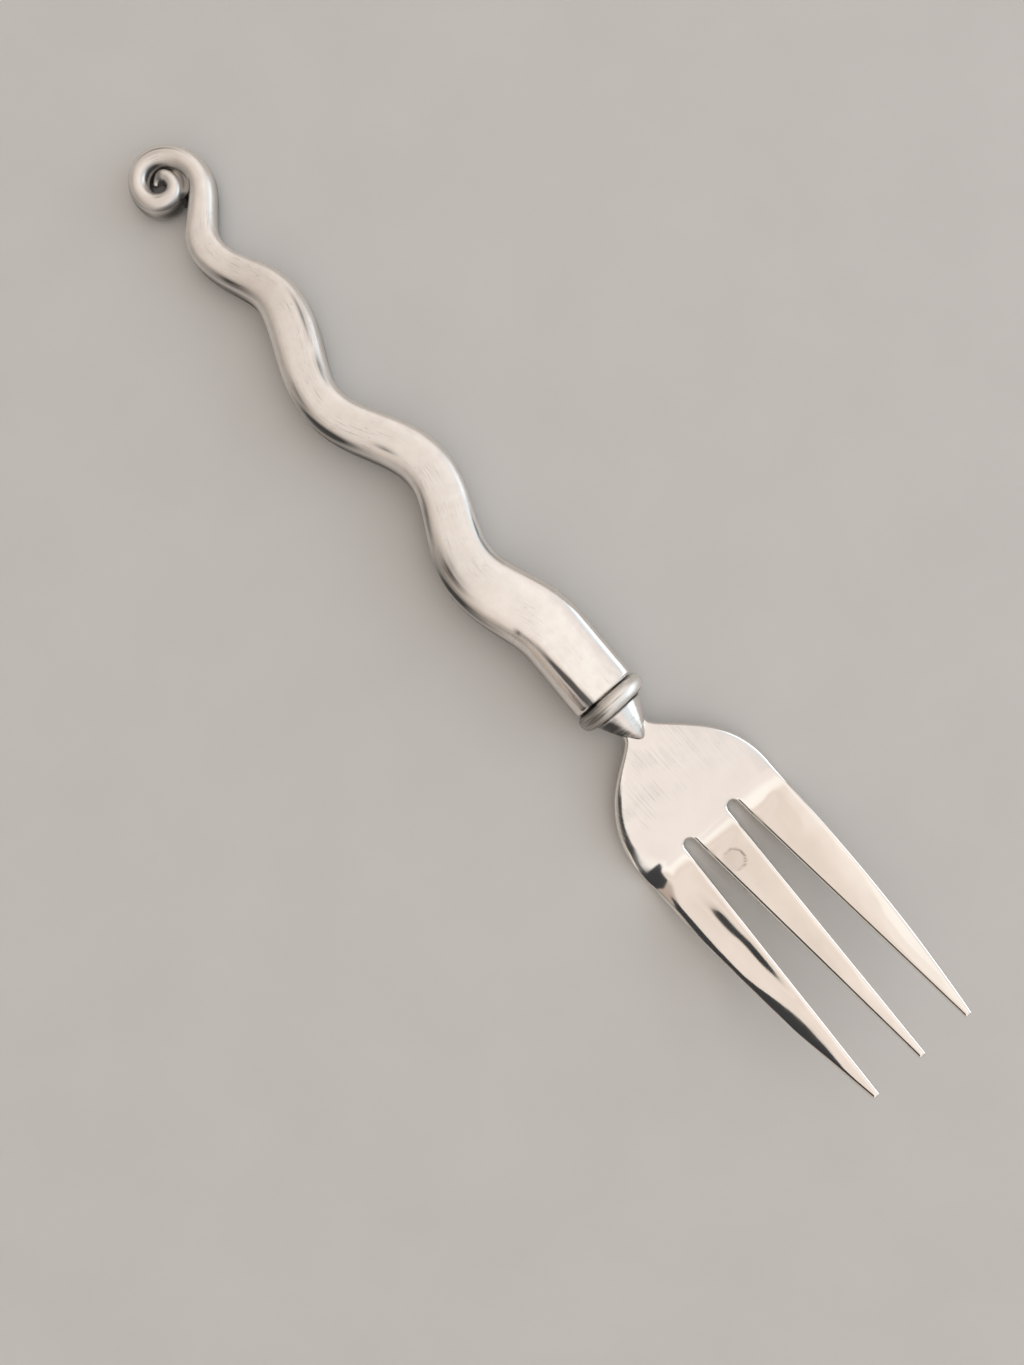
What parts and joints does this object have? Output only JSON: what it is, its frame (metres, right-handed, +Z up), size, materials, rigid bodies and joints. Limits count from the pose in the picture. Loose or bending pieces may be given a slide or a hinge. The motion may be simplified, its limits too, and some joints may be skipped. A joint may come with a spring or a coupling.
{
  "type": "serving fork",
  "caption": "Serving fork with a broad steel head of slim tapering tines, set through a pointed ferrule and a bead collar into a wavy cast handle that ends in a spiral scroll.",
  "frame": {"origin": "middle of the fork's footprint on the table that it lies on, face up", "axes": "+X along the fork towards the tine tips, +Y across it towards the scroll's shank side, +Z up from the table"},
  "size_m": [0.2686, 0.0404, 0.0222],
  "materials": {
    "head_steel": "polished stainless steel sheet with fine brushed scratches on the palm",
    "cast_metal": "satin cast metal, warm white, with dark patina in its creases and along its lower edges",
    "worn_metal": "worn satin metal, darker than the handle, scratched along its length",
    "setting_compound": "matt hard setting compound, hidden inside the handle"
  },
  "bodies": {
    "root": {"fork_head": "head_steel", "ferrule": "cast_metal", "collar_ring": "worn_metal", "handle": "cast_metal", "tang_cement": "setting_compound"}
  },
  "joints": []
}
